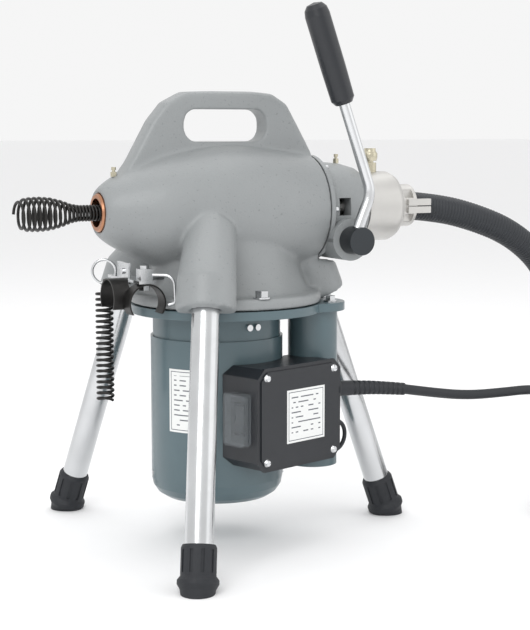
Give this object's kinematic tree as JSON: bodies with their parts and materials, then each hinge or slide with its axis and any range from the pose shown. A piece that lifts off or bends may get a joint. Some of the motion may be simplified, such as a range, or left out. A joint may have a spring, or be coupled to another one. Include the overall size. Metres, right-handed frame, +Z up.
{
  "type": "drain cleaning machine",
  "caption": "Sectional drain-cleaning machine on a tripod: cast housing with carrying handle, upright motor, clutch lever, auger and rear guide hose.",
  "frame": {"origin": "on the floor, on the upright axis of the motor, at the centre of the circle on which the three feet stand", "axes": "+Z up, +X along the spindle towards the rear guide hose, -Y the side of the switch box and the lever"},
  "size_m": [1.148, 0.4152, 0.5747],
  "materials": {
    "cast_grey": "fine cast texture under grey enamel",
    "motor_paint": "blue-grey enamel, semi-gloss",
    "bronze": "turned bronze",
    "bearing_steel": "ground",
    "machined_steel": "machined",
    "core_iron": "laminated",
    "oiled_steel": "blued and oiled",
    "bright_steel": "bright zinc",
    "zinc_tube": "zinc-plated tube",
    "grip_plastic": "satin moulding",
    "bare_aluminium": "bead-blasted",
    "plated_brass": "plated",
    "foot_rubber": "moulded",
    "box_plastic": "moulded",
    "clear_cover": "clear soft plastic",
    "plate_white": "printed film",
    "spring_steel": "black oxide",
    "motor_bearing_steel": "ground",
    "fan_plastic": "moulded",
    "can_aluminium": "drawn",
    "cord_rubber": "moulded",
    "hose_rubber": "ribbed"
  },
  "bodies": {
    "machine": {"main_housing": "cast_grey", "nose_bushing": "bronze", "spindle_bearings": "bearing_steel", "rear_housing": "cast_grey", "hose_coupling": "bare_aluminium", "coupling_latches": "bare_aluminium", "grease_fittings": "plated_brass", "casing_screws": "bright_steel", "motor_flange_plate": "motor_paint", "motor_shell": "motor_paint", "motor_top_bell": "motor_paint", "motor_bottom_bell": "motor_paint", "motor_stator": "core_iron", "motor_bearings": "motor_bearing_steel", "data_plates": "plate_white", "capacitor_tube": "motor_paint", "capacitor": "can_aluminium", "flange_bolts": "bright_steel", "tripod_legs": "zinc_tube", "rubber_feet": "foot_rubber", "switch_box_base": "box_plastic", "switch_box_lid": "box_plastic", "lid_screws": "bright_steel", "switch_body": "box_plastic", "switch_boot": "clear_cover", "motor_lead": "cord_rubber", "tool_clips": "spring_steel", "hanger_bracket": "bright_steel", "hanger_bolts": "bright_steel", "pin_key": "bright_steel", "hanger_ring": "bright_steel", "guide_hose": "hose_rubber", "hose_coil": "hose_rubber", "hose_end_fitting": "bare_aluminium", "power_cord": "cord_rubber", "cord_coil": "cord_rubber", "cord_strain_relief": "cord_rubber", "plug": "cord_rubber"},
    "lever": {"cam_shaft": "machined_steel", "lever_head": "oiled_steel", "lever_rod": "bright_steel", "lever_grip": "grip_plastic"},
    "yoke": {"clutch_yoke": "machined_steel", "thrust_bearing": "bearing_steel"},
    "thrust_ring": {"thrust_plate": "machined_steel"},
    "jaw_top": {"clutch_jaw_top": "machined_steel"},
    "jaw_near": {"clutch_jaw_near": "machined_steel"},
    "jaw_far": {"clutch_jaw_far": "machined_steel"},
    "spindle": {"spindle_sleeve": "machined_steel", "ring_gear": "machined_steel", "drain_cable": "spring_steel"},
    "rotor": {"motor_shaft": "machined_steel", "motor_rotor": "core_iron", "motor_fan": "fan_plastic", "pinion_gear": "machined_steel"},
    "collar": {"adjusting_collar": "bare_aluminium", "lock_pin_housing": "plated_brass"},
    "pull_pin": {"lock_pin": "plated_brass"},
    "rocker": {"switch_rocker": "box_plastic"},
    "hanging_tool": {"spare_auger": "spring_steel"}
  },
  "joints": [
    {"name": "motor_turn", "type": "hinge", "parent": "machine", "child": "rotor", "pos_m": [0, 0, 0.2], "axis": [0, 0, 1], "continuous": true},
    {"name": "spindle_turn", "type": "hinge", "parent": "machine", "child": "spindle", "pos_m": [0, 0, 0.357], "axis": [1, 0, 0], "continuous": true},
    {"name": "lever_pull", "type": "hinge", "parent": "machine", "child": "lever", "pos_m": [0.133, 0, 0.324], "axis": [0, -1, 0], "range_deg": [0, 45]},
    {"name": "yoke_slide", "type": "slide", "parent": "machine", "child": "yoke", "axis": [-1, 0, 0], "range_m": [0, 0.0042]},
    {"name": "thrust_slide", "type": "slide", "parent": "spindle", "child": "thrust_ring", "axis": [-1, 0, 0], "range_m": [0, 0.0042]},
    {"name": "jaw_top_slide", "type": "slide", "parent": "spindle", "child": "jaw_top", "axis": [0, 0, -1], "range_m": [0, 0.0025]},
    {"name": "jaw_near_slide", "type": "slide", "parent": "spindle", "child": "jaw_near", "axis": [0, 0.866, 0.5], "range_m": [0, 0.0025]},
    {"name": "jaw_far_slide", "type": "slide", "parent": "spindle", "child": "jaw_far", "axis": [0, -0.866, 0.5], "range_m": [0, 0.0025]},
    {"name": "collar_turn", "type": "hinge", "parent": "machine", "child": "collar", "pos_m": [0.19, 0, 0.357], "axis": [1, 0, 0], "range_deg": [0, 90]},
    {"name": "lock_pin_pull", "type": "slide", "parent": "collar", "child": "pull_pin", "axis": [0, 0, 1], "range_m": [0, 0.006], "stiffness_N_per_m": 900},
    {"name": "switch_rock", "type": "hinge", "parent": "machine", "child": "rocker", "pos_m": [-0.0127, -0.0917, 0.146], "axis": [0.3156, -0.9489, 0], "range_deg": [0, 10]},
    {"name": "tool_swing", "type": "hinge", "parent": "machine", "child": "hanging_tool", "pos_m": [-0.121, 0.021, 0.2816], "axis": [0.9072, -0.4206, 0], "range_deg": [-15, 25]}
  ],
  "couplings": [
    {"joint": "spindle_turn", "follows": "motor_turn", "ratio": 0.3},
    {"joint": "yoke_slide", "follows": "lever_pull", "m_per_rad": 0.0053475},
    {"joint": "thrust_slide", "follows": "lever_pull", "m_per_rad": 0.0053475},
    {"joint": "jaw_top_slide", "follows": "lever_pull", "m_per_rad": 0.003183},
    {"joint": "jaw_near_slide", "follows": "lever_pull", "m_per_rad": 0.003183},
    {"joint": "jaw_far_slide", "follows": "lever_pull", "m_per_rad": 0.003183}
  ]
}
